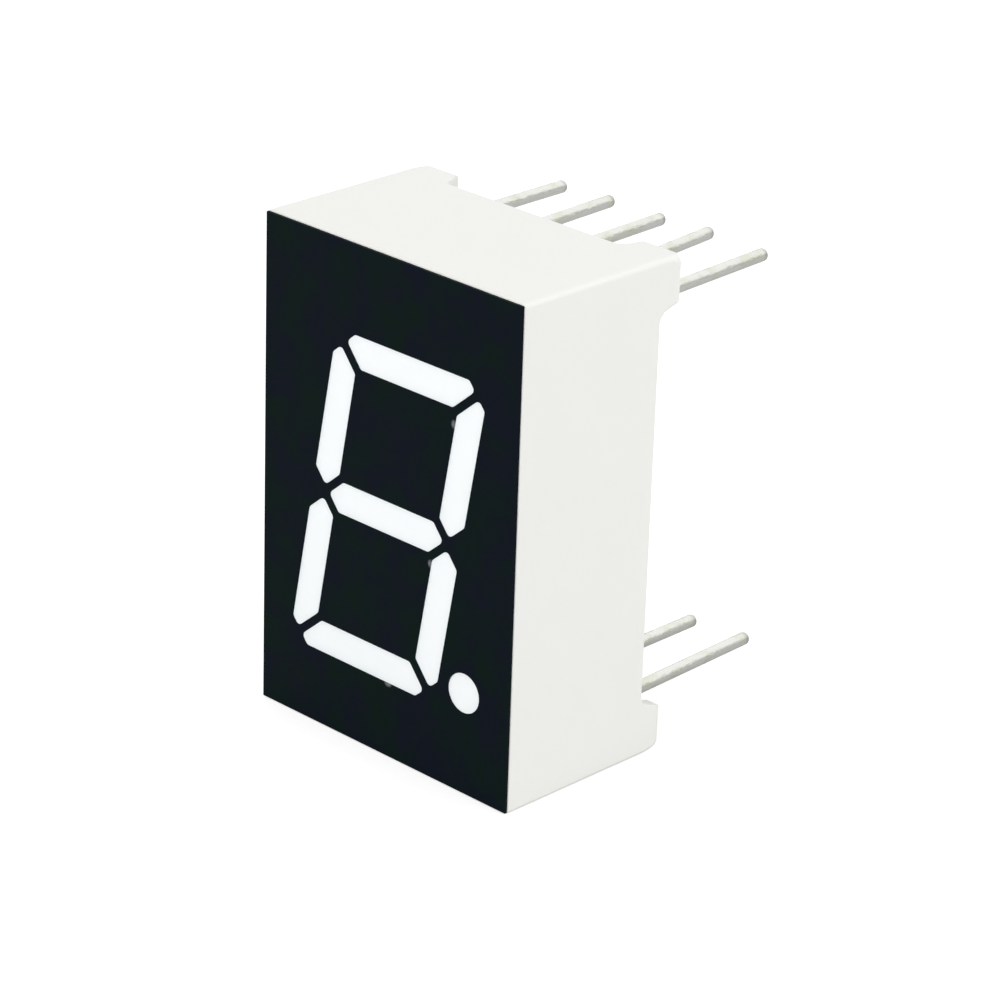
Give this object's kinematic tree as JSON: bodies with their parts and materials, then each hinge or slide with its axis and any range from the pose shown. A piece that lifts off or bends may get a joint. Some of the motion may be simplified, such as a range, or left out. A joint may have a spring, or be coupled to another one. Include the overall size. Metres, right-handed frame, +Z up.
{
  "type": "seven segment display",
  "caption": "Through-hole LED numeral display: white moulded body, black face with slanted light bars and a decimal point, rows of pins behind.",
  "frame": {"origin": "middle of the lower edge, half way between the black face and the pin tips", "axes": "+Z up along the digit, +X right across the face as a reader sees it, +Y back from the face along the pins"},
  "size_m": [0.0126, 0.0138, 0.0191],
  "materials": {
    "housing_white": "fine satin moulding",
    "face_black": "satin printed coat",
    "resin_white": "milky cast resin, flush and satin",
    "board_green": "solder mask on glass laminate",
    "copper": "etched copper",
    "pin_tin": "bright tinned wire",
    "solder": "bright solder",
    "die": "polished crystal",
    "gold_wire": "drawn gold"
  },
  "bodies": {
    "root": {"reflector_housing": "housing_white", "face_coat": "face_black", "resin_fill": "resin_white", "circuit_board": "board_green", "front_copper": "copper", "back_copper": "copper", "pin_1": "pin_tin", "pin_2": "pin_tin", "pin_3": "pin_tin", "pin_4": "pin_tin", "pin_5": "pin_tin", "pin_6": "pin_tin", "pin_7": "pin_tin", "pin_8": "pin_tin", "pin_9": "pin_tin", "pin_10": "pin_tin", "solder_1": "solder", "solder_2": "solder", "solder_3": "solder", "solder_4": "solder", "solder_5": "solder", "solder_6": "solder", "solder_7": "solder", "solder_8": "solder", "solder_9": "solder", "solder_10": "solder", "led_die_a": "die", "led_die_b": "die", "led_die_c": "die", "led_die_d": "die", "led_die_e": "die", "led_die_f": "die", "led_die_g": "die", "led_die_point": "die", "bond_wire_a": "gold_wire", "bond_wire_b": "gold_wire", "bond_wire_c": "gold_wire", "bond_wire_d": "gold_wire", "bond_wire_e": "gold_wire", "bond_wire_f": "gold_wire", "bond_wire_g": "gold_wire", "bond_wire_point": "gold_wire"}
  },
  "joints": []
}
